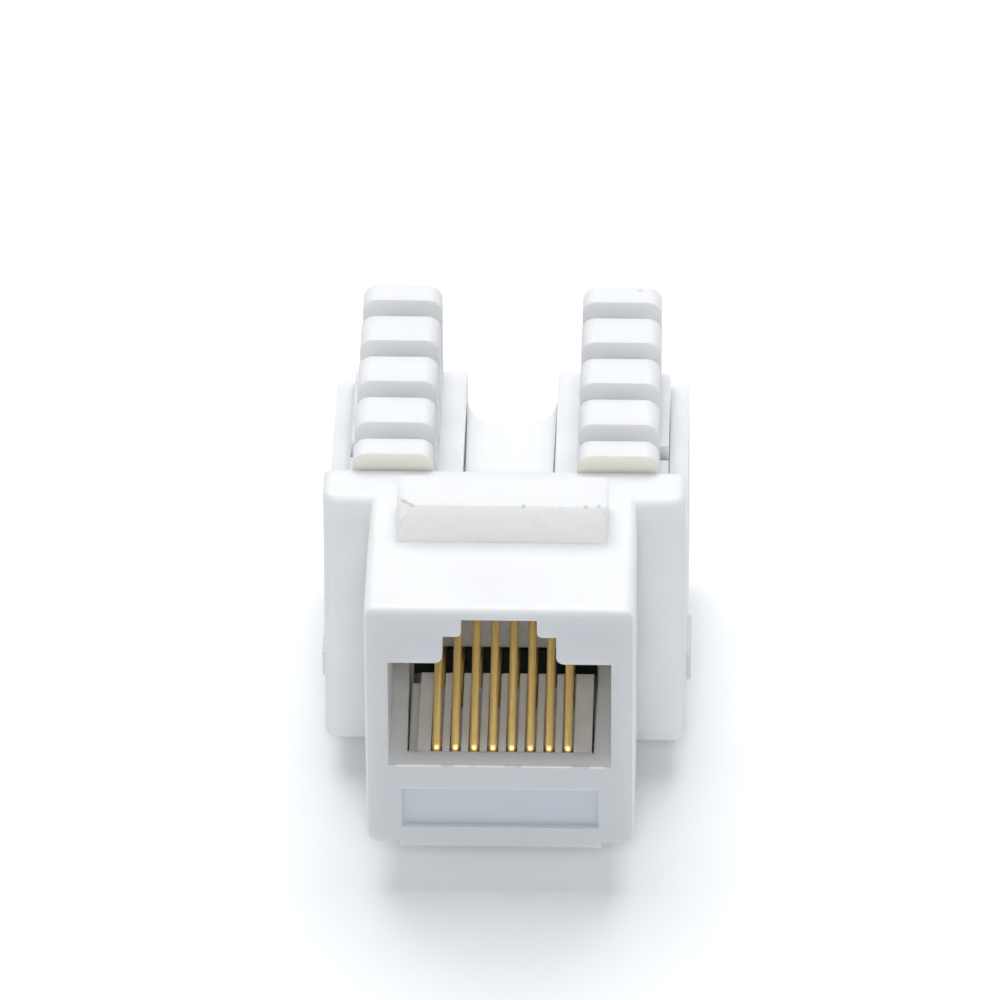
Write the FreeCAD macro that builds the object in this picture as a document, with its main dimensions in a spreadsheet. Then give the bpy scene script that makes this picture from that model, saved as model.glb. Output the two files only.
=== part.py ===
"""Keystone jack: a snap-in 8-way modular socket with two rows of punch-down towers.

Millimetres. X runs across the jack, Y from its front face to its rear, Z upwards.
The origin is the middle of the lower front edge of the nose, the part that fills the panel's hole.
"""
import FreeCAD, Part
import os
import re
import Sketcher

PART_SIZES = {
    # nose: the square snout that goes through the panel
    "nose_width": 14.5, "nose_depth": 10.4, "nose_edge": 0.6, "face_edge": 0.5, "brow_wall": 0.65,
    # socket in the nose: plug space, step and key groove for the plug's catch
    "port_width": 12.0, "port_floor": 5.35, "port_height": 6.8, "port_back": 1.3,
    "step_width": 6.1, "step_rise": 1.75, "step_edge": 0.45,
    "key_width": 4.05, "key_rise": 1.1, "key_edge": 0.3,
    # bay behind the wall under the socket's mouth, wider to the rear, and the passage from it to the board
    "front_wall": 1.3, "bay_width": 10.1, "bay_flare": 0.17, "bay_bottom": 1.4, "passage_drop": 0.5,
    # shallow field under the socket
    "field_width": 10.65, "field_height": 2.55, "field_bottom": 1.2, "field_depth": 0.35,
    # fixed lug on top and springing latch below, both a panel's play ahead of the shoulders
    "panel_gap": 0.7, "lug_width": 11.35, "lug_length": 3.4, "lug_height": 2.0, "lug_lean": 0.6,
    "latch_width": 10.9, "latch_drop": 3.1, "latch_root": 0.05, "latch_thickness": 1.15, "latch_head": 2.2,
    "latch_step": 0.5,
    # wide body behind the nose, a little wider at its foot
    "body_width": 19.7, "side_draft": 0.1, "body_drop": 0.7, "slab_depth": 2.6, "band_height": 1.35,
    "band_step": 0.15, "band_edge": 0.4, "shoulder_edge": 0.75, "foot_edge": 0.3, "wall": 1.0,
    "ledge_height": 10.1,
    "window_front": 0.8, "window_length": 4.0, "window_bottom": 1.1, "window_height": 2.6,
    # tongue that lies between the two plinths, with the cable notch at its rear
    "tongue_width": 5.1, "tongue_taper": 0.22, "taper_depth": 0.35, "tongue_thickness": 1.2,
    "notch_depth": 4.3,
    # punch-down block: plinths above the side walls' ledge, and towers of teeth on them
    "plinth_step": 0.9, "bridge_thickness": 3.1, "skirt": 1.2, "rear_wall": 1.1, "tower_ledge": 0.5,
    "tower_width": 4.4, "tower_height": 5.7, "tower_edge": 0.8, "end_tooth": 1.45, "tooth": 2.4,
    "slot_width": 1.6, "slot_lift": 1.0,
    "well_width": 0.6, "well_length": 1.4, "well_setback": 8.6, "well_depth": 3.0,
    # blade contacts in the slots
    "blade_thickness": 0.45, "blade_width": 3.0, "blade_setdown": 1.4, "blade_slit": 0.36, "slit_depth": 6.0,
    "slit_mouth": 1.3, "mouth_depth": 0.9, "blade_corner": 0.35, "blade_tail": 0.8, "pocket_gap": 0.1,
    # wire contacts in the socket, in a row a little to the right of the middle
    "contact_spacing": 1.016, "row_offset": 0.08, "contact_width": 0.45, "contact_thickness": 0.32,
    "contact_setback": 0.45, "contact_tip": 10.2, "contact_rise": 4.4, "contact_bend": 0.42,
    "leg_clearance": 0.55, "tail_setback": 1.1, "tail_stagger": 2.0,
    # comb that carries the wire contacts
    "comb_slot": 0.62, "comb_slot_depth": 0.85, "comb_length": 7.45, "long_land": 0.35, "short_land": 2.25,
    "comb_shelf": 0.5, "comb_shelf_drop": 0.9, "comb_slack": 0.07, "bend_room": 1.2, "tunnel_gap": 0.03,
    "rib_round": 0.3,
    # circuit board, and the cover under it whose posts carry it
    "board_thickness": 1.6, "tail_below": 0.7, "blade_hole": 0.5, "wire_hole": 0.35,
    "cover_thickness": 1.2, "tab_thickness": 0.75, "hook_proud": 0.25, "hook_lead": 0.8, "hook_gap": 0.1,
    "post_radius": 0.8, "post_height": 1.5,
    # clearances between pieces, and how far a feature reaches into or past the one it joins or cuts
    "fit_gap": 0.1, "seam_gap": 0.03, "slide_gap": 0.05, "overlap": 0.5,
}
CONTACTS = 8
SLOTS_PER_TOWER = 4

document = FreeCAD.newDocument("KeystoneJack")
sheet = document.addObject("Spreadsheet::Sheet", "Sizes")
for row, (alias, value) in enumerate(PART_SIZES.items(), start=1):
    sheet.set(f"A{row}", alias)
    sheet.set(f"B{row}", str(value))
    sheet.setAlias(f"B{row}", alias)
document.recompute()


def bound(text):
    """Write a sum of sizes as a FreeCAD expression: each size's name becomes its spreadsheet cell."""
    return re.sub(r"[a-z]\w*", lambda word: f"Sizes.{word.group()}" if word.group() in PART_SIZES
                  else word.group(), str(text))


def value_of(text):
    """The present value of such a sum."""
    return float(sheet.evalExpression(bound(text)))


# ---------------------------------------------------------------- sketches and features
# Each origin plane's normal, as a sign along the axis it is named after.
NORMAL = {"XY_Plane": 1, "XZ_Plane": -1, "YZ_Plane": 1}


def new_body(name):
    body = document.addObject("PartDesign::Body", name)
    body.Label = name
    return body


def origin_feature(body, role):
    return next(feature for feature in body.Origin.OriginFeatures if feature.Role == role)


def pin_value(sketch, name, constraint, text):
    """Add a named dimension to a sketch and tie it to the sheet."""
    index = sketch.addConstraint(constraint)
    sketch.renameConstraint(index, name)
    sketch.setExpression(f"Constraints.{name}", bound(text))


def draw_loop(sketch, loop, tag, closed=True):
    """Draw straight runs through corners (x, y) or (x, y, rounding radius), all tied to the sheet."""
    corners = [FreeCAD.Vector(value_of(corner[0]), value_of(corner[1])) for corner in loop]
    count = len(corners)
    runs = count if closed else count - 1
    first = sketch.GeometryCount
    for run in range(runs):
        sketch.addGeometry(Part.LineSegment(corners[run], corners[(run + 1) % count]), False)
    for run in range(runs if closed else runs - 1):
        sketch.addConstraint(Sketcher.Constraint("Coincident", first + run, 2, first + (run + 1) % count, 1))
    for corner, (point, texts) in enumerate(zip(corners, loop)):
        edge, end = (first + corner, 1) if corner < runs else (first + corner - 1, 2)
        for axis, size, text in (("X", point.x, texts[0]), ("Y", point.y, texts[1])):
            distance = Sketcher.Constraint(f"Distance{axis}", -1, 1, edge, end, size)
            pin_value(sketch, f"{tag}{axis}{corner}", distance, text)
    for corner, texts in enumerate(loop):
        if len(texts) == 3:
            before, after = corners[corner - 1], corners[(corner + 1) % count]
            radius = value_of(texts[2])
            here = corners[corner]
            picks = [here + (far - here).normalize() * radius for far in (before, after)]
            arc = sketch.GeometryCount
            sketch.fillet(first + (corner - 1) % count, first + corner, *picks, radius, True, True)
            pin_value(sketch, f"{tag}r{corner}", Sketcher.Constraint("Radius", arc, radius), texts[2])


def new_sketch(body, name, plane, loops, height="0", closed=True, circles=()):
    """A sketch of loops and of circles (x, y, radius), lying `height` along the plane's axis."""
    sketch = body.newObject("Sketcher::SketchObject", name)
    sketch.AttachmentSupport = [(origin_feature(body, plane), "")]
    sketch.MapMode = "FlatFace"
    sketch.setExpression("AttachmentOffset.Base.z", bound(f"{NORMAL[plane]} * ({height})"))
    for index, loop in enumerate(loops):
        draw_loop(sketch, loop, f"loop{index}", closed)
    for index, (x, y, radius) in enumerate(circles):
        centre = FreeCAD.Vector(value_of(x), value_of(y))
        edge = sketch.addGeometry(Part.Circle(centre, FreeCAD.Vector(0, 0, 1), value_of(radius)), False)
        for axis, size, text in (("X", centre.x, x), ("Y", centre.y, y)):
            distance = Sketcher.Constraint(f"Distance{axis}", -1, 1, edge, 3, size)
            pin_value(sketch, f"hole{axis}{index}", distance, text)
        pin_value(sketch, f"holeR{index}", Sketcher.Constraint("Radius", edge, value_of(radius)), radius)
    return sketch


def extrude(body, kind, name, plane, loops, start, end, circles=()):
    """Pad or Pocket a sketch from `start` to `end` along the plane's axis."""
    sketch = new_sketch(body, f"{name}Sketch", plane, loops, start, circles=circles)
    feature = body.newObject(f"PartDesign::{kind}", name)
    feature.Profile = sketch
    feature.setExpression("Length", bound(f"({end}) - ({start})"))
    feature.Reversed = (NORMAL[plane] < 0) == (kind == "Pad")
    sketch.Visibility = False
    return feature


def add(body, name, plane, loops, start, end, circles=()):
    return extrude(body, "Pad", name, plane, loops, start, end, circles)


def cut(body, name, plane, loops, start, end, circles=()):
    return extrude(body, "Pocket", name, plane, loops, start, end, circles)


def repeat(body, name, feature, axis, step, count):
    """Repeat a feature `count` times along an origin axis, `step` apart."""
    pattern = body.newObject("PartDesign::LinearPattern", name)
    pattern.Originals = [feature]
    pattern.Direction = (origin_feature(body, axis), [""])
    pattern.setExpression("Length", bound(f"({step}) * {count - 1}"))
    pattern.Occurrences = count
    body.Tip = pattern
    return pattern


def treat_edges(body, kind, name, size, chosen):
    """Fillet or Chamfer the edges of the body so far whose middle point passes `chosen`."""
    document.recompute()
    base = body.Tip
    names = [f"Edge{index}" for index, edge in enumerate(base.Shape.Edges, start=1)
             if chosen(edge, edge.valueAt((edge.FirstParameter + edge.LastParameter) / 2))]
    feature = body.newObject(f"PartDesign::{kind}", name)
    feature.Base = (base, names)
    feature.setExpression("Radius" if kind == "Fillet" else "Size", bound(size))
    return feature


def near(first, second):
    return abs(first - second) < 1e-4


def rectangle(left, right, bottom, top, radius=None):
    """Corners of a rectangle, with all four rounded where a radius is given."""
    corners = [(left, bottom), (right, bottom), (right, top), (left, top)]
    return corners if radius is None else [corner + (radius,) for corner in corners]


def both_sides(inner, outer, bottom, top):
    """A rectangle to the right of the middle plane and its mirror image on the left."""
    return [rectangle(inner, outer, bottom, top), rectangle(f"-({outer})", f"-({inner})", bottom, top)]


# ---------------------------------------------------------------- heights and stations that pieces share
body_bottom = "-body_drop"
port_top = "(port_floor + port_height)"
step_top = f"({port_top} + step_rise)"
key_top = f"({step_top} + key_rise)"
body_top = f"({key_top} + brow_wall)"
slab_rear = "(nose_depth + slab_depth)"
panel_side = "(nose_depth - panel_gap)"
port_rear = f"({slab_rear} - port_back)"
bay_top = "(port_floor - passage_drop)"

tongue_bottom = "(ledge_height - tongue_thickness)"
channel_side = "(tongue_width / 2)"
plinth_top = "(ledge_height + plinth_step)"
tower_top = f"({plinth_top} + tower_height)"
blade_top = f"({tower_top} - blade_setdown)"

block_front = f"({slab_rear} + fit_gap)"
slot_pitch = "(tooth + slot_width)"
first_slot = f"({block_front} + end_tooth)"
first_blade = f"({first_slot} + slot_width / 2)"
body_rear = f"({first_slot} + {SLOTS_PER_TOWER} * slot_width + {SLOTS_PER_TOWER - 1} * tooth + end_tooth)"
block_rear = f"({body_rear} - fit_gap)"
block_side = "(body_width / 2 - wall - seam_gap)"
tower_middle = f"({block_side} - tower_ledge - tower_width / 2)"
notch_front = f"({block_rear} - notch_depth)"

cover_top = "(cover_thickness - body_drop)"
board_bottom = f"({cover_top} + post_height)"
board_top = f"({board_bottom} + board_thickness)"
board_rear = f"({block_rear} - rear_wall - fit_gap)"
tail_bottom = f"({board_bottom} - tail_below)"
tab_side = f"({block_side} - tab_thickness)"
tab_front = f"({slab_rear} + window_front + hook_gap)"
tab_rear = f"({slab_rear} + window_front + window_length - hook_gap)"
hook_top = "(window_bottom + window_height - hook_gap)"

leg_height = f"({board_top} + leg_clearance)"
bend_front = "(front_wall + contact_setback)"
comb_rear = "(front_wall + comb_length)"


# ---------------------------------------------------------------- front housing
# One white moulding: nose with the socket, fixed lug, springing latch, shoulders, side walls and tongue.
def side_at(height):
    """How far the drafted flanks stand from the middle plane at a height."""
    return f"(body_width / 2 + side_draft * ({body_top} - {height}) / ({body_top} - {body_bottom}))"


def flank(side, inner, bottom, top):
    """Outline from `inner` out to the drafted flank, on the right (side 1) or the left (side -1)."""
    return [(f"{side} * {inner}", bottom), (f"{side} * {side_at(bottom)}", bottom),
            (f"{side} * {side_at(top)}", top), (f"{side} * {inner}", top)]


def make_front_housing():
    body = new_body("front_housing")
    half_nose = "nose_width / 2"
    add(body, "Nose", "XZ_Plane",
        [rectangle(f"-{half_nose}", half_nose, "0", body_top, "nose_edge")], "0", slab_rear)
    treat_edges(body, "Fillet", "FaceEdges", "face_edge", lambda edge, mid: near(mid.y, 0))

    # shoulders that stop behind the panel, a band along their top, and the walls behind them
    band_bottom = f"({body_top} - band_height)"
    band_side = side_at(band_bottom)
    shoulder_front = "(nose_depth + band_step)"
    add(body, "Shoulders", "XZ_Plane",
        [[(f"-{side_at(body_bottom)}", body_bottom), (side_at(body_bottom), body_bottom),
          (band_side, band_bottom), (f"-{band_side}", band_bottom)]], shoulder_front, slab_rear)
    front, wide = value_of(shoulder_front), value_of(band_side)
    treat_edges(body, "Fillet", "ShoulderEdges", "shoulder_edge",
                lambda edge, mid: near(mid.y, front) and abs(mid.x) > wide)
    add(body, "Band", "XY_Plane",
        [[(f"-{band_side}", "nose_depth", "shoulder_edge"), (band_side, "nose_depth", "shoulder_edge"),
          (band_side, slab_rear), (f"-{band_side}", slab_rear)]], band_bottom, body_top)
    top, bottom = value_of(body_top), value_of(body_bottom)
    treat_edges(body, "Fillet", "BandEdges", "band_edge",
                lambda edge, mid: near(abs(mid.x), wide) and near(mid.z, top))
    add(body, "SideWalls", "XZ_Plane",
        [flank(side, "(body_width / 2 - wall)", body_bottom, "ledge_height") for side in (1, -1)],
        slab_rear, body_rear)

    # tongue: its top layer tapers to the rear, where the end is hollowed for the cable
    straight, narrow = f"({channel_side} - seam_gap)", f"({channel_side} - tongue_taper - seam_gap)"
    tongue_end = f"({notch_front} + {channel_side})"
    taper_bottom = "(ledge_height - taper_depth)"
    add(body, "Tongue", "XY_Plane",
        [[(f"-{straight}", slab_rear), (straight, slab_rear), (straight, tongue_end),
          (f"-{straight}", tongue_end)]], tongue_bottom, taper_bottom)
    add(body, "TongueTop", "XY_Plane",
        [[(f"-{narrow}", slab_rear), (narrow, slab_rear), (straight, tongue_end),
          (f"-{straight}", tongue_end)]], taper_bottom, "ledge_height")
    cut(body, "CableNotch", "XY_Plane", [], tongue_bottom, "ledge_height",
        circles=[("0", tongue_end, f"{channel_side} - fit_gap")])

    # lug and latch hold the panel between themselves and the shoulders
    lug_top = f"({body_top} + lug_height)"
    lug_front = f"({panel_side} - lug_length)"
    add(body, "Lug", "YZ_Plane",
        [[(lug_front, f"{body_top} - overlap"), (panel_side, f"{body_top} - overlap"), (panel_side, lug_top),
          (f"{lug_front} + lug_lean", lug_top), (lug_front, body_top)]], "-lug_width / 2", "lug_width / 2")
    add(body, "Latch", "YZ_Plane",
        [[("0", "face_edge"), ("0", "-latch_root"),
          (f"{panel_side} - latch_head", "-latch_drop + latch_step", "latch_head / 2"),
          (panel_side, "-latch_drop"), (panel_side, "-latch_drop + latch_thickness"),
          ("front_wall", "0", "front_wall / 2"), ("front_wall", "face_edge")]],
        "-latch_width / 2", "latch_width / 2")

    # socket, with the corners that meet the plug's catch rounded
    half_port, half_step, half_key = "port_width / 2", "step_width / 2", "key_width / 2"
    cut(body, "Port", "XZ_Plane",
        [[(f"-{half_port}", "port_floor"), (half_port, "port_floor"), (half_port, port_top),
          (half_step, port_top, "step_edge"), (half_step, step_top), (half_key, step_top, "key_edge"),
          (half_key, key_top), (f"-{half_key}", key_top), (f"-{half_key}", step_top, "key_edge"),
          (f"-{half_step}", step_top), (f"-{half_step}", port_top, "step_edge"),
          (f"-{half_port}", port_top)]], "0", port_rear)

    # bay for the comb, passage for the contacts' legs, and the shallow field under the socket
    half_bay = "bay_width / 2"
    wide_bay = f"({half_bay} + bay_flare)"
    cut(body, "CombBay", "XY_Plane",
        [[(f"-{half_bay}", "front_wall"), (half_bay, "front_wall"), (wide_bay, port_rear),
          (f"-{wide_bay}", port_rear)]], "bay_bottom", "port_floor")
    cut(body, "Passage", "XZ_Plane",
        [rectangle(f"-{half_bay}", half_bay, "bay_bottom", bay_top)], port_rear, slab_rear)
    cut(body, "Field", "XZ_Plane",
        [rectangle("-field_width / 2", "field_width / 2", "field_bottom", "field_bottom + field_height")],
        "0", "field_depth")

    # windows in the side walls for the cover's hooks
    cut(body, "HookWindows", "XZ_Plane",
        both_sides("body_width / 2 - wall - overlap", "body_width / 2 + overlap",
                   "window_bottom", "window_bottom + window_height"),
        f"{slab_rear} + window_front", f"{slab_rear} + window_front + window_length")

    treat_edges(body, "Fillet", "FootEdges", "foot_edge",
                lambda edge, mid: near(mid.y, front) and near(mid.z, bottom))
    return body


# ---------------------------------------------------------------- punch-down block
# Two rows of five teeth on a plinth each, joined by a bridge under the housing's tongue.
def make_idc_block():
    body = new_body("idc_block")
    bridge_top = f"({tongue_bottom} - fit_gap)"
    bridge_bottom = f"({bridge_top} - bridge_thickness)"
    add(body, "Plinths", "XZ_Plane",
        both_sides(channel_side, block_side, bridge_bottom, plinth_top), block_front, block_rear)
    add(body, "Bridge", "XZ_Plane",
        [rectangle(f"-{channel_side}", channel_side, bridge_bottom, bridge_top)], block_front, block_rear)

    # skirt that stands on the circuit board beside the cover's tabs, and a rear wall that reaches the cover
    skirt_top = f"{bridge_bottom} + overlap"
    add(body, "SideSkirts", "XZ_Plane",
        both_sides(f"{block_side} - skirt", block_side, board_top, skirt_top), block_front, block_rear)
    add(body, "RearWall", "XZ_Plane",
        [rectangle(f"-{block_side}", block_side, f"{cover_top} + fit_gap", skirt_top)],
        f"{board_rear} + fit_gap", block_rear)
    cut(body, "TabRooms", "XZ_Plane",
        both_sides(f"{tab_side} - fit_gap", f"{block_side} + overlap", board_bottom, f"{hook_top} + fit_gap"),
        f"{tab_front} - fit_gap", f"{tab_rear} + fit_gap")

    # towers, rounded along their top edges
    tower_inner = f"({tower_middle} - tower_width / 2)"
    tower_outer = f"({tower_middle} + tower_width / 2)"
    for side, name in ((1, "RightTower"), (-1, "LeftTower")):
        inner, outer = f"{side} * {tower_inner}", f"{side} * {tower_outer}"
        add(body, name, "XZ_Plane",
            [[(inner, f"{plinth_top} - overlap"), (outer, f"{plinth_top} - overlap"),
              (outer, tower_top, "tower_edge"), (inner, tower_top, "tower_edge")]],
            block_front, body_rear)

    # wire slots, and pockets that hold the blades from below and grip them in the teeth
    slot = cut(body, "WireSlot", "XZ_Plane",
               [rectangle(f"-{block_side}", block_side, f"{plinth_top} + slot_lift",
                          f"{tower_top} + overlap")],
               first_slot, f"{first_slot} + slot_width")
    repeat(body, "WireSlots", slot, "Y_Axis", slot_pitch, SLOTS_PER_TOWER)
    half_pocket = "(blade_thickness / 2 + pocket_gap)"
    half_length = "(blade_width / 2 + pocket_gap)"
    pocket = cut(body, "BladePocket", "XY_Plane",
                 both_sides(f"{tower_middle} - {half_pocket}", f"{tower_middle} + {half_pocket}",
                            f"{first_blade} - {half_length}", f"{first_blade} + {half_length}"),
                 board_top, f"{blade_top} + pocket_gap")
    repeat(body, "BladePockets", pocket, "Y_Axis", slot_pitch, SLOTS_PER_TOWER)

    # small wells beside the towers, and the notch that lets the cable out at the rear
    well_middle = f"({block_front} + well_setback)"
    cut(body, "Wells", "XY_Plane",
        both_sides(tower_outer, f"{tower_outer} + well_width",
                   f"{well_middle} - well_length / 2", f"{well_middle} + well_length / 2"),
        f"{plinth_top} - well_depth", plinth_top)
    notch_corner = f"{channel_side} - fit_gap"
    cut(body, "CableNotch", "XY_Plane",
        [[(f"-{channel_side}", notch_front, notch_corner), (channel_side, notch_front, notch_corner),
          (channel_side, f"{body_rear} + overlap"), (f"-{channel_side}", f"{body_rear} + overlap")]],
        bridge_bottom, plinth_top)
    return body


# ---------------------------------------------------------------- cover under the body
# A plate with four posts that carry the board, and two tabs whose hooks snap into the side walls' windows.
def make_base_cover():
    body = new_body("base_cover")
    add(body, "Plate", "XY_Plane",
        [rectangle(f"-{block_side}", block_side, block_front, block_rear)], body_bottom, cover_top)
    hook_bottom = "(window_bottom + hook_gap)"
    hook_side = f"({side_at('window_bottom')} + hook_proud)"
    add(body, "Tabs", "XZ_Plane",
        both_sides(tab_side, block_side, f"{cover_top} - overlap", hook_top), tab_front, tab_rear)
    for side, name in ((1, "RightHook"), (-1, "LeftHook")):
        root, tip = f"{side} * ({block_side} - overlap)", f"{side} * {hook_side}"
        add(body, name, "XZ_Plane",
            [[(root, hook_bottom), (tip, hook_bottom), (tip, f"{hook_top} - hook_lead"),
              (f"{side} * {block_side}", hook_top), (root, hook_top)]],
            tab_front, tab_rear)
    posts = [(f"{side} * {tower_middle}", f"{first_blade} + {slot_pitch} * {step + 0.5}", "post_radius")
             for side in (-1, 1) for step in range(0, SLOTS_PER_TOWER, 2)]
    add(body, "Posts", "XY_Plane", [], f"{cover_top} - overlap", board_bottom, circles=posts)
    return body


# ---------------------------------------------------------------- comb that carries the wire contacts
# Ribs stand between the wires; a lower shelf runs along the left side, and the bay behind stays empty.
def contact_middle(number):
    """Distance of wire contact `number` (1 to CONTACTS) to the right of the middle plane."""
    return f"(row_offset + contact_spacing * {number - (CONTACTS + 1) / 2})"


def make_contact_comb():
    body = new_body("contact_comb")
    half = "(bay_width / 2 - slide_gap)"
    front = "(front_wall + slide_gap)"
    bottom = "(bay_bottom + slide_gap)"
    add(body, "Block", "XZ_Plane",
        [rectangle(f"-{half}", f"{half} - comb_slack", bottom, "port_floor")], front, comb_rear)
    cut(body, "Shelf", "XZ_Plane",
        [rectangle(f"-{half}", f"-({half} - comb_shelf)", "port_floor - comb_shelf_drop", "port_floor")],
        front, comb_rear)

    # a slot above each wire's leg, closed further back under every second wire
    for number, land, name in ((1, "long_land", "LongSlot"), (2, "short_land", "ShortSlot")):
        left = f"{contact_middle(number)} - comb_slot / 2"
        right = f"{contact_middle(number)} + comb_slot / 2"
        floor_end = f"({comb_rear} - {land})"
        slot_floor = "port_floor - comb_slot_depth"
        shallow = cut(body, name, "XZ_Plane", [rectangle(left, right, slot_floor, "port_floor")],
                      front, floor_end)
        repeat(body, f"{name}s", shallow, "X_Axis", "2 * contact_spacing", CONTACTS // 2)
        deep = cut(body, f"{name}Well", "XZ_Plane", [rectangle(left, right, bottom, "port_floor")],
                   floor_end, comb_rear)
        repeat(body, f"{name}Wells", deep, "X_Axis", "2 * contact_spacing", CONTACTS // 2)

    # room for each wire's front bend, and a tunnel for its leg
    first = contact_middle(1)
    half_wire = "(contact_width / 2 + tunnel_gap)"
    half_leg = "(contact_thickness / 2 + tunnel_gap)"
    leg_bottom, leg_top = f"{leg_height} - {half_leg}", f"{leg_height} + {half_leg}"
    bend = cut(body, "BendRoom", "XZ_Plane",
               [rectangle(f"{first} - comb_slot / 2", f"{first} + comb_slot / 2", leg_bottom, "port_floor")],
               front, f"{bend_front} + bend_room")
    repeat(body, "BendRooms", bend, "X_Axis", "contact_spacing", CONTACTS)
    tunnel = cut(body, "Tunnel", "XZ_Plane",
                 [rectangle(f"{first} - {half_wire}", f"{first} + {half_wire}", leg_bottom, leg_top)],
                 front, comb_rear)
    repeat(body, "Tunnels", tunnel, "X_Axis", "contact_spacing", CONTACTS)

    # the ribs end in rounded corners at the rear
    end, floor = value_of(comb_rear), value_of("port_floor")
    treat_edges(body, "Fillet", "RibEnds", "rib_round",
                lambda edge, mid: near(mid.y, end) and near(mid.z, floor))
    return body


# ---------------------------------------------------------------- wire contacts
# A flat wire bent from one piece: free arm, front bend, leg through the comb, tail through the board.
def contact_tail(number):
    """How far back the tail of wire contact `number` stands: every second one is a row further."""
    return f"({block_front} + tail_setback + tail_stagger * {(number - 1) % 2})"


def make_jack_contact(number):
    body = new_body(f"jack_contact_{number}")
    tail, middle = contact_tail(number), contact_middle(number)
    route = [("contact_tip", "port_floor + contact_rise"),
             (bend_front, "port_floor - contact_thickness / 2", "contact_bend"),
             (bend_front, leg_height, "contact_bend"),
             (tail, leg_height, "contact_bend"), (tail, tail_bottom)]
    spine = new_sketch(body, "Route", "YZ_Plane", [route], middle, closed=False)
    section = new_sketch(body, "Section", "XY_Plane",
                         [rectangle(f"{middle} - contact_width / 2", f"{middle} + contact_width / 2",
                                    f"{tail} - contact_thickness / 2", f"{tail} + contact_thickness / 2")],
                         tail_bottom)
    document.recompute()
    wire = body.newObject("PartDesign::AdditivePipe", "Wire")
    wire.Profile = section
    wire.Spine = (spine, [f"Edge{index}" for index in range(1, len(spine.Shape.Edges) + 1)])
    wire.Mode = "Binormal"
    wire.Binormal = FreeCAD.Vector(1, 0, 0)
    return body


# ---------------------------------------------------------------- blade contacts
# Stamped blade with a slit that bites the conductor; its tail is soldered through the board.
def make_idc_contact(number):
    body = new_body(f"idc_contact_{number}")
    side = -1 if number <= SLOTS_PER_TOWER else 1
    middle = f"({first_blade} + {slot_pitch} * {(number - 1) % SLOTS_PER_TOWER})"

    def at(offset, height):
        return f"{middle} + {offset}", height

    half, half_tail = "blade_width / 2", "blade_tail / 2"
    half_slit, half_mouth = "blade_slit / 2", "slit_mouth / 2"
    shoulder = f"{blade_top} - blade_corner"
    right = [at(half_tail, tail_bottom), at(half_tail, board_top), at(half, board_top), at(half, shoulder),
             at(f"{half} - blade_corner", blade_top), at(half_mouth, blade_top),
             at(half_slit, f"{blade_top} - mouth_depth"), at(half_slit, f"{blade_top} - slit_depth")]
    left = [(f"2 * {middle} - ({across})", height) for across, height in reversed(right)]
    centre = f"{side} * {tower_middle}"
    add(body, "Blade", "YZ_Plane", [right + left],
        f"{centre} - blade_thickness / 2", f"{centre} + blade_thickness / 2")
    return body


# ---------------------------------------------------------------- circuit board
# Its edges stop short of the cover's tabs and the block's rear wall; every tail passes through a hole.
def make_circuit_board():
    body = new_body("circuit_board")
    board_side = f"({tab_side} - fit_gap)"
    add(body, "Board", "XY_Plane",
        [rectangle(f"-{board_side}", board_side, block_front, board_rear)], board_bottom, board_top)
    wire_holes = [(contact_middle(number), contact_tail(number), "wire_hole")
                  for number in range(1, CONTACTS + 1)]
    blade_holes = [(f"{side} * {tower_middle}", f"{first_blade} + {slot_pitch} * {step}", "blade_hole")
                   for side in (-1, 1) for step in range(SLOTS_PER_TOWER)]
    cut(body, "Holes", "XY_Plane", [], board_bottom, board_top, circles=wire_holes + blade_holes)
    return body


pieces = [make_front_housing(), make_idc_block(), make_base_cover()]
pieces += [make_contact_comb(), make_circuit_board()]
pieces += [make_jack_contact(number) for number in range(1, CONTACTS + 1)]
pieces += [make_idc_contact(number) for number in range(1, 2 * SLOTS_PER_TOWER + 1)]
document.recompute()

for item in document.Objects:
    if {"Invalid", "Error"} & set(item.State):
        raise RuntimeError(f"{item.Label} failed: {item.State}")
os.makedirs("parts", exist_ok=True)
for piece in pieces:
    if piece.Shape.isNull() or not piece.Shape.isValid():
        raise RuntimeError(f"{piece.Label} has no valid shape")
    piece.Shape.exportStep(f"parts/{piece.Label}.step")
    print(f"{piece.Label}: {len(piece.Shape.Solids)} solid, {piece.Shape.Volume:.2f} mm3")
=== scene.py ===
"""Keystone jack: a white snap-in data socket with two rows of punch-down teeth."""
import math

import bpy
from mathutils import Matrix, Vector


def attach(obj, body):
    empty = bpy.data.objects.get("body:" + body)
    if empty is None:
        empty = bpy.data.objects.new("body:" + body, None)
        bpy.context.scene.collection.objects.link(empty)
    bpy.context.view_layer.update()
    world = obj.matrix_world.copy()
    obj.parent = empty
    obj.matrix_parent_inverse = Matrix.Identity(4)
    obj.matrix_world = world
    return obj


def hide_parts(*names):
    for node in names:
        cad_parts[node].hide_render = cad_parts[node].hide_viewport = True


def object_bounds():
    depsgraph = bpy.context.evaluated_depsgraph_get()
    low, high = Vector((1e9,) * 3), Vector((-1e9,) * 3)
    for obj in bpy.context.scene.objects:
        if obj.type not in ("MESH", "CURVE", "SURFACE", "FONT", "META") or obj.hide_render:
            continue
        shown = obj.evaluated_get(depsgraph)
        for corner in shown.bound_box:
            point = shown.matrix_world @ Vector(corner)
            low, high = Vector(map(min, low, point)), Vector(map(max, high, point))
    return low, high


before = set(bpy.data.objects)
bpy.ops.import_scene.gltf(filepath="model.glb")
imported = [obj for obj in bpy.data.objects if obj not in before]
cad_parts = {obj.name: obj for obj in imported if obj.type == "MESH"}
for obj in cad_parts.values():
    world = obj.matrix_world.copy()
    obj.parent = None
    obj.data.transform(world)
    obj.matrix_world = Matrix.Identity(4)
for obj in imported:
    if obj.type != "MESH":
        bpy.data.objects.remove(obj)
cad_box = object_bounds()
MM = 0.001

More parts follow.
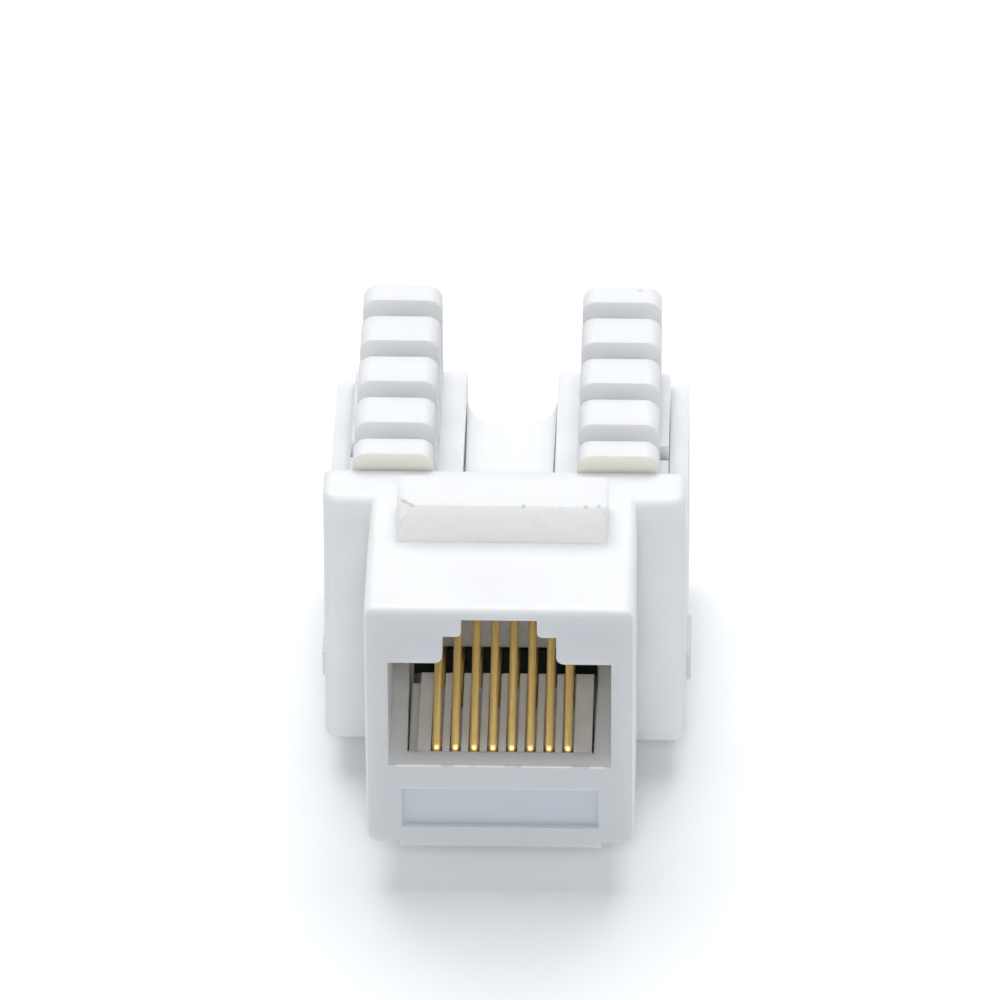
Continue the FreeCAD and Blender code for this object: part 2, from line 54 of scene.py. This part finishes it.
# ---------------------------------------------------------------- front housing
# The nose with the socket, the lug on top, the springing latch below, the shoulders and the side walls
# are one white moulding. A mould eases every sharp edge a little, and leaves a faint grain on the faces.
HOUSING_EDGE = 0.10
WHITE = (0.845, 0.858, 0.872)


class Wire:
    """One output of a material's nodes. Sums and products of wires add Math nodes."""

    def __init__(self, tree, socket):
        self.tree = tree
        self.socket = socket

    def node(self, kind, settings, values, output=0):
        """Add a node: its settings first, then the values or links of its sockets."""
        made = self.tree.nodes.new(kind)
        for name, setting in settings.items():
            setattr(made, name, setting)
        for name, value in values.items():
            if isinstance(value, Wire):
                self.tree.links.new(value.socket, made.inputs[name])
            else:
                made.inputs[name].default_value = value
        return Wire(self.tree, made.outputs[output])

    def maths(self, operation, first, second):
        return self.node("ShaderNodeMath", {"operation": operation}, {0: first, 1: second})

    def __add__(self, other):
        return self.maths("ADD", self, other)

    def __sub__(self, other):
        return self.maths("SUBTRACT", self, other)

    def __rsub__(self, other):
        return self.maths("SUBTRACT", other, self)

    def __mul__(self, other):
        return self.maths("MULTIPLY", self, other)

    def __gt__(self, other):
        return self.maths("GREATER_THAN", self, other)

    def __lt__(self, other):
        return self.maths("LESS_THAN", self, other)

    __radd__ = __add__
    __rmul__ = __mul__

    def size(self):
        """The value without its sign."""
        return self.node("ShaderNodeMath", {"operation": "ABSOLUTE"}, {0: self})

    def stretched(self, across, back, up):
        """This place with each axis scaled, so that a pattern read there is drawn out or squeezed."""
        scales = (across, back, up)
        return self.node("ShaderNodeVectorMath", {"operation": "MULTIPLY"}, {0: self, 1: scales})

    def near(self, spot, reach):
        """1 close to a spot, a half at `reach` millimetres from it, and 0 further out."""
        away = self.node("ShaderNodeVectorMath", {"operation": "DISTANCE"}, {0: self, 1: spot}, 1)
        return 1 - away.ramp(0.6 * reach, 1.4 * reach)

    def ramp(self, low, high):
        """0 below `low`, 1 above `high`, smooth between."""
        return self.node("ShaderNodeMapRange", {"interpolation_type": "SMOOTHSTEP"},
                         {"Value": self, "From Min": low, "From Max": high})

    def noise(self, size, detail=2.0, roughness=0.5):
        """Cloudy noise whose blotches are about `size` millimetres, read at this place."""
        return self.node("ShaderNodeTexNoise", {"noise_dimensions": "3D"},
                         {"Vector": self, "Scale": 1 / size, "Detail": detail, "Roughness": roughness})

    def part(self, axis):
        """One coordinate of this place."""
        return self.node("ShaderNodeSeparateXYZ", {}, {"Vector": self}, "XYZ".index(axis))

    def tint(self, plain, other):
        """Mix two colours, or colour wires, by this mask."""
        colours = [value if isinstance(value, Wire) else (*value, 1) for value in (plain, other)]
        return self.node("ShaderNodeMix", {"data_type": "RGBA"}, {0: self, 6: colours[0], 7: colours[1]}, 2)

    def bump(self, height, over=None):
        """A normal whose relief is this height, 0 to 1, times `height` millimetres."""
        below = {"Normal": over} if over else {}
        return self.node("ShaderNodeBump", {}, {"Height": self, "Distance": height * MM, **below})


def new_material(name, **fixed):
    """A material's place in millimetres, and a function that fills its shader's sockets and returns it."""
    material = bpy.data.materials.new(name)
    material.use_nodes = True
    tree = material.node_tree
    shader = tree.nodes["Principled BSDF"]
    for socket, value in fixed.items():
        shader.inputs[socket.replace("_", " ")].default_value = value
    start = Wire(tree, None)
    object_place = start.node("ShaderNodeTexCoord", {}, {}, "Object")
    place = start.node("ShaderNodeVectorMath", {"operation": "SCALE"}, {0: object_place, "Scale": 1 / MM})

    def finish(**varied):
        for socket, wire in varied.items():
            tree.links.new(wire.socket, shader.inputs[socket.replace("_", " ")])
        return material

    return place, finish


def shaded(colour, share):
    """A colour with this share of its light."""
    return tuple(part * share for part in colour)


def white_plastic(name, marks=None):
    """White moulding: light passes a little way into it; faint clouds, a fine grain and small marks."""
    place, finish = new_material(name, IOR=1.5, Subsurface_Weight=0.6, Subsurface_Scale=1.6 * MM,
                                 Subsurface_Radius=(1.2, 1.1, 0.9))
    cloud = place.noise(4.0, 3.0)
    grain = place.noise(0.14)
    colour = cloud.ramp(0.35, 0.7).tint(WHITE, shaded(WHITE, 0.975))
    roughness = 0.36 + 0.10 * cloud + 0.06 * grain
    normal = grain.bump(0.004)
    if marks:
        colour, roughness, normal = marks(place, colour, roughness, normal)
    return finish(Base_Color=colour, Roughness=roughness, Normal=normal)


def eased_copy(name, node, edge, damage=None):
    """A copy of a CAD piece with its sharp edges rounded, which then stands for that piece."""
    piece = bpy.data.objects.new(name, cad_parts[node].data.copy())
    bpy.context.scene.collection.objects.link(piece)
    bpy.ops.object.select_all(action="DESELECT")
    bpy.context.view_layer.objects.active = piece
    piece.select_set(True)
    bpy.ops.object.mode_set(mode="EDIT")
    bpy.ops.mesh.select_all(action="SELECT")
    bpy.ops.mesh.remove_doubles(threshold=0.001 * MM)
    bpy.ops.mesh.dissolve_limited(angle_limit=math.radians(0.5))
    if damage:
        damage(piece)
    bpy.ops.mesh.quads_convert_to_tris(quad_method="BEAUTY", ngon_method="BEAUTY")
    bpy.ops.object.mode_set(mode="OBJECT")
    bpy.ops.object.shade_smooth()
    easing = piece.modifiers.new("easing", "BEVEL")
    easing.width = edge * MM
    easing.segments = 2
    easing.limit_method = "ANGLE"
    easing.angle_limit = math.radians(30)
    easing.miter_outer = "MITER_ARC"
    bpy.ops.object.modifier_apply(modifier="easing")
    bpy.ops.object.shade_smooth_by_angle(angle=math.radians(40))
    flats = piece.modifiers.new("flats", "WEIGHTED_NORMAL")
    flats.keep_sharp = True
    bpy.ops.object.modifier_apply(modifier="flats")
    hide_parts(node)
    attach(piece, "root")
    return piece


def dress(piece, material):
    piece.data.materials.clear()
    piece.data.materials.append(material)


SLACK = 0.02
FACE_FADE, FACE_DEPTH = 0.10, 0.25
# Painted shade: the front face is coloured greyer than the moulding.
FACE_SHADE_GREY = (0.668, 0.694, 0.722)
SOCKET_FLOOR, SOCKET_HALF = 5.35, 6.0
LIP_DEPTH, LIP_HEIGHT, LIP_MARGIN = 0.12, 0.09, 0.3
FIELD_HALF, FIELD_BOTTOM, FIELD_TOP = 5.325, 1.2, 3.75
FIELD_FRONT, FIELD_BACK = 0.04, 0.6
# Painted shade: the shallow field is coloured a bluer grey.
FIELD_SHADE_GREY = (0.652, 0.700, 0.750)
LUG_FOOT, LUG_TOP, LUG_HALF = 15.65, 17.65, 5.675
LUG_FRONT, LUG_LEAN = 6.3, 0.6
# Painted light: the lug's front is coloured paler than the moulding.
LUG_LIT_WHITE = (0.945, 0.95, 0.955)
BLOTCH_GREY = (0.78, 0.77, 0.78)
BRIGHT = (1.0, 1.0, 1.0)
GRAINS_EACH_MM, PITS_EACH_MM = 1.9, 5.5
GRAIN_HEIGHT, PIT_HEIGHT = 0.02, 0.04
CHIP_BACK, CHIP_ACROSS, CHIP_DOWN = 0.75, 0.80, 1.2
# A dark grey for scuffs and for painted shadow along the chip's edge.
SCUFF_AND_SHADE = (0.42, 0.42, 0.40)
MARK_REACH = 0.12
EDGE_NICKS = [(1.16, 6.95, 17.62), (4.5, 6.95, 17.62), (5.2, 7.0, 17.63)]
# Painted shadow: dark spots along the chip's slanting edge.
CHIP_EDGE_SHADE = [(-4.83, 6.92, 17.62), (-4.96, 7.0, 17.62), (-5.10, 7.12, 17.62), (-5.24, 7.25, 17.62),
              (-5.36, 7.36, 17.62)]


def housing_marks(place, colour, roughness, normal):
    """The face is coloured greyer as painted shade, and its shallow field a bluer painted shade; the field
    is smoother too. The socket's front edge is worn smooth, with a painted highlight. The lug's front is
    rough and pitted, paler with painted light, and sparkles with painted glints.
    """
    across, back, up = (place.part(axis) for axis in "XYZ")
    # Painted shade over the front face, fading out behind it.
    face = (back < FACE_DEPTH) * (1 - back.ramp(FACE_FADE, FACE_DEPTH))
    colour = face.tint(colour, FACE_SHADE_GREY)
    # Painted shade in the field; its lower roughness is real.
    field = ((across.size() < FIELD_HALF + SLACK) * (up > FIELD_BOTTOM - SLACK) * (up < FIELD_TOP + SLACK)
             * (back > FIELD_FRONT) * (back < FIELD_BACK))
    colour = field.tint(colour, FIELD_SHADE_GREY)
    roughness = roughness - 0.12 * field

    # The socket's front edge: worn smooth where plugs slide in, and coloured white as a painted highlight.
    lip = ((back < LIP_DEPTH) * (up > SOCKET_FLOOR - LIP_HEIGHT) * (up < SOCKET_FLOOR + SLACK)
           * (across.size() < SOCKET_HALF - LIP_MARGIN))
    rubbed_and_highlight = lip * place.stretched(0.5, 0, 0).noise(0.9).ramp(0.42, 0.50)
    colour = rubbed_and_highlight.tint(colour, BRIGHT)
    roughness = roughness - 0.3 * rubbed_and_highlight

    chip = (across < CHIP_ACROSS - LUG_HALF) * (up < LUG_TOP - SLACK)
    coarse_and_lit = (up > LUG_FOOT + 0.03) * (back < LUG_FRONT + LUG_LEAN + SLACK + chip)
    # Painted light: the lug's front and the chip's facet are coloured paler; their roughness and pits below
    # are real.
    colour = coarse_and_lit.tint(colour, LUG_LIT_WHITE)
    blotch = coarse_and_lit * place.noise(0.55, 4.0).ramp(0.45, 0.75)
    colour = (0.15 * blotch).tint(colour, BLOTCH_GREY)
    cells = {"Vector": place, "Scale": GRAINS_EACH_MM}
    grains = place.node("ShaderNodeTexVoronoi", {"feature": "F1"}, cells, "Distance")
    chance = place.node("ShaderNodeTexVoronoi", {"feature": "F1"}, cells, "Color")
    # Glossy grains with relief, coloured white as painted glints.
    sparkle = coarse_and_lit * (chance.part("X") > 0.66) * (1 - grains.ramp(0.06, 0.20))
    colour = sparkle.tint(colour, BRIGHT)
    roughness = roughness + 0.25 * coarse_and_lit - 0.5 * sparkle
    pits = place.node("ShaderNodeTexVoronoi", {"feature": "F1"}, {"Vector": place, "Scale": PITS_EACH_MM})
    normal = sparkle.bump(GRAIN_HEIGHT, (coarse_and_lit * pits).bump(PIT_HEIGHT, normal))
    # Dark spots: scuffs along the lug's top edge, and painted shadow along the chip's edge.
    for dark_spot in EDGE_NICKS + CHIP_EDGE_SHADE:
        colour = (0.5 * place.near(dark_spot, MARK_REACH)).tint(colour, SCUFF_AND_SHADE)
    return colour, roughness, normal


def chip_lug(piece):
    """The lug's front corner on the left is chipped: a slanting cut takes the corner off."""
    bpy.ops.mesh.select_mode(type="FACE")
    bpy.ops.mesh.select_all(action="DESELECT")
    bpy.ops.object.mode_set(mode="OBJECT")
    for face in piece.data.polygons:
        face.select = face.center.z > (LUG_FOOT + 0.1) * MM
    bpy.ops.object.mode_set(mode="EDIT")
    corner = Vector((-LUG_HALF, LUG_FRONT + LUG_LEAN, LUG_TOP))
    lean = LUG_LEAN / (LUG_TOP - LUG_FOOT)
    steps = (0, CHIP_BACK, 0), (CHIP_ACROSS, 0, 0), (0, -lean * CHIP_DOWN, -CHIP_DOWN)
    back, across, down = ((corner + Vector(step)) * MM for step in steps)
    upwards = (back - across).cross(down - across).normalized()
    bpy.ops.mesh.bisect(plane_co=back, plane_no=upwards, use_fill=True, clear_outer=True)
    bpy.ops.mesh.select_all(action="SELECT")


housing = eased_copy("housing", "front_housing", HOUSING_EDGE, chip_lug)
dress(housing, white_plastic("white moulding", housing_marks))

# ---------------------------------------------------------------- punch-down block and base cover
# The block with the two rows of teeth drops in from above, and the cover clips in below with two hooks.
# Both are of the housing's white plastic.
BLOCK_EDGE = 0.13
COVER_EDGE = 0.08
FIRST_TOOTH, TOOTH_FOOT = 13.1, 11.0
# Painted shade on the first teeth's front faces.
TOOTH_FRONT_SHADE = (0.83, 0.815, 0.745)
TOWER_SCUFF, SCUFF_REACH = (7.1, 29.35, 16.68), 0.16


def block_marks(place, colour, roughness, normal):
    """The first teeth's front faces are coloured warmer and darker as painted shade. The last tooth on the
    right has a faint scuff.
    """
    # Painted shade on the front faces of the first teeth.
    front = (place.part("Y") < FIRST_TOOTH + 0.12) * (place.part("Z") > TOOTH_FOOT)
    colour = front.tint(colour, TOOTH_FRONT_SHADE)
    colour = (0.35 * place.near(TOWER_SCUFF, SCUFF_REACH)).tint(colour, SCUFF_AND_SHADE)
    return colour, roughness, normal


block = eased_copy("punch_down_block", "idc_block", BLOCK_EDGE)
dress(block, white_plastic("block moulding", block_marks))
cover = eased_copy("cover", "base_cover", COVER_EDGE)
dress(cover, white_plastic("cover moulding"))

# ---------------------------------------------------------------- contact comb
# The insert that holds the wires apart is a little duller plastic, coloured a warm grey as painted shade
# for the inside of the socket and the warm light off the gold. Light passes a shorter way into it.
COMB_EDGE = 0.04
COMB_SHADE_GREY = (0.83, 0.81, 0.765)
place, finish = new_material("comb plastic", IOR=1.5, Subsurface_Weight=0.4, Subsurface_Scale=0.6 * MM,
                             Subsurface_Radius=(1.3, 1.0, 0.7))
cloud = place.noise(2.0, 3.0)
# Painted shade: the comb's warm grey.
comb_plastic = finish(Base_Color=cloud.tint(COMB_SHADE_GREY, shaded(COMB_SHADE_GREY, 0.9)),
                      Roughness=0.42 + 0.12 * cloud, Normal=place.noise(0.1).bump(0.004))
comb = eased_copy("comb", "contact_comb", COMB_EDGE)
dress(comb, comb_plastic)

# ---------------------------------------------------------------- socket contacts
# Eight flat wires, each bent round at the front and led back under the ribs. Their gold plating is bright,
# and its rolled surface has fine lines along the wire.
WIRE_EDGE = 0.12
GOLD = (1.0, 0.78, 0.31)
GOLD_WORN = (0.95, 0.61, 0.22)
place, finish = new_material("gold plating", Metallic=0.9)
lines = place.stretched(14, 0.35, 0.35).noise(1.0, 3.0)
wear = place.noise(1.5, 3.0)
gold = finish(Base_Color=lines.ramp(0.38, 0.66).tint(GOLD, GOLD_WORN),
              Roughness=0.22 + 0.10 * wear + 0.06 * lines, Normal=lines.bump(0.004))
for number in range(1, 9):
    wire = eased_copy(f"socket_wire_{number}", f"jack_contact_{number}", WIRE_EDGE)
    dress(wire, gold)

# ---------------------------------------------------------------- blades
# Stamped bronze blades with a tin finish stand in the slots, and grip the conductors pushed in there.
# The tin is a little cloudy.
BLADE_EDGE = 0.04
TIN = (0.70, 0.70, 0.68)
place, finish = new_material("tin plating", Metallic=1.0)
cloud = place.noise(0.6, 4.0)
tin = finish(Base_Color=cloud.tint(TIN, shaded(TIN, 0.88)),
             Roughness=0.30 + 0.2 * cloud, Normal=place.noise(0.08).bump(0.002))
for number in range(1, 9):
    blade = eased_copy(f"blade_{number}", f"idc_contact_{number}", BLADE_EDGE)
    dress(blade, tin)

# ---------------------------------------------------------------- circuit board
# A laminate with a dark green solder mask joins the wires to the blades, hidden inside.
# Its weave shows faintly through the mask.
BOARD_GREEN = (0.018, 0.030, 0.026)
place, finish = new_material("solder mask", Coat_Weight=0.4)
weave = place.node("ShaderNodeTexWave", {"wave_type": "BANDS"}, {"Vector": place, "Scale": 1.2})
mask = place.noise(1.5, 3.0)
board_finish = finish(Base_Color=mask.tint(BOARD_GREEN, shaded(BOARD_GREEN, 1.5)),
                      Roughness=0.35 + 0.1 * mask, Normal=weave.bump(0.004))
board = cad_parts["circuit_board"]
board.data.materials.clear()
board.data.materials.append(board_finish)

# ---------------------------------------------------------------- floor, light and camera
# A flat white floor lies just under the lowest point. A large softbox hangs above and behind, and a smaller
# lamp stands in front, in white surroundings.
FLOOR_SIZE = 3.0
FLOOR_GAP = 0.00001
FLOOR_WHITE, FLOOR_CLOUD = (0.885, 0.905, 0.93), (0.895, 0.91, 0.925)
FLOOR_LIFT = 0.115
BLACK = (0.0, 0.0, 0.0)


def shown_to(place):
    """1 for what the camera sees, directly, in metal or through glass, and 0 for what only gives light."""
    rays = [place.node("ShaderNodeLightPath", {}, {}, f"Is {kind} Ray")
            for kind in ("Camera", "Glossy", "Transmission")]
    return rays[0] + rays[1] + rays[2]


bpy.ops.object.select_all(action="DESELECT")
bpy.ops.mesh.primitive_plane_add(size=FLOOR_SIZE, location=(0, 0, cad_box[0][2] - FLOOR_GAP))
floor = bpy.context.object
floor.name = "floor"
place, finish = new_material("floor paint", Emission_Strength=1.0)
floor_paint = finish(Base_Color=place.noise(30.0).tint(FLOOR_WHITE, FLOOR_CLOUD),
                     Roughness=0.6 + 0.1 * place.noise(2.0),
                     Emission_Color=shown_to(place).tint(BLACK, shaded(BRIGHT, FLOOR_LIFT)))
floor.data.materials.append(floor_paint)

WORLD_LEVEL = 0.25
WORLD_TINT = (0.97, 0.99, 1.02)
world = bpy.data.worlds.new("surroundings")
world.use_nodes = True
bpy.context.scene.world = world
tree = world.node_tree
lit = shown_to(Wire(tree, None)).tint(shaded(WORLD_TINT, WORLD_LEVEL), BRIGHT)
tree.links.new(lit.socket, tree.nodes["Background"].inputs["Color"])

MIDDLE = Vector((0, 0.012, 0.008))
SOFTBOX_PLACE, SOFTBOX_SIZE, SOFTBOX_AWAY, SOFTBOX_LEVEL = (-0.015, 0.21, 0.57), 0.50, 0.60, 0.86
FRONT_UP, FRONT_RIGHT, FRONT_AWAY = math.radians(38), 0.01, 0.60
FRONT_SIZE, FRONT_LEVEL = 0.15, 0.26


def lamp(name, place, size, level, away, shape):
    """A white panel that faces the object, and lights a white surface `away` from it to this level."""
    light = bpy.data.lights.new(name, "AREA")
    light.shape = shape
    light.size = size
    light.energy = level * math.pi ** 2 * away ** 2
    holder = bpy.data.objects.new(name, light)
    bpy.context.scene.collection.objects.link(holder)
    holder.location = place
    holder.rotation_euler = (holder.location - MIDDLE).to_track_quat("Z", "Y").to_euler()


lamp("softbox", SOFTBOX_PLACE, SOFTBOX_SIZE, SOFTBOX_LEVEL, SOFTBOX_AWAY, "SQUARE")
front_place = (FRONT_RIGHT, -FRONT_AWAY * math.cos(FRONT_UP), FRONT_AWAY * math.sin(FRONT_UP))
lamp("front lamp", front_place, FRONT_SIZE, FRONT_LEVEL, FRONT_AWAY, "DISK")

PITCH, YAW, ROLL = math.radians(34.883), math.radians(1.719), math.radians(-0.355)
TARGET = Vector((0.0001, 0.0, 0.02285))
DISTANCE = 0.52573
LENS, SENSOR, CLIP_START = 357.6, 36, 0.01
tilt = Matrix.Rotation(math.pi / 2 - PITCH, 4, "X")
turn = Matrix.Rotation(YAW, 4, "Z") @ tilt @ Matrix.Rotation(ROLL, 4, "Z")
camera = bpy.data.objects.new("camera", bpy.data.cameras.new("camera"))
camera.data.lens = LENS
camera.data.sensor_width = SENSOR
camera.data.clip_start = CLIP_START
camera.matrix_world = Matrix.Translation(TARGET + turn.to_3x3() @ Vector((0, 0, DISTANCE))) @ turn
bpy.context.scene.collection.objects.link(camera)
bpy.context.scene.camera = camera
bpy.context.scene.view_settings.view_transform = "Standard"
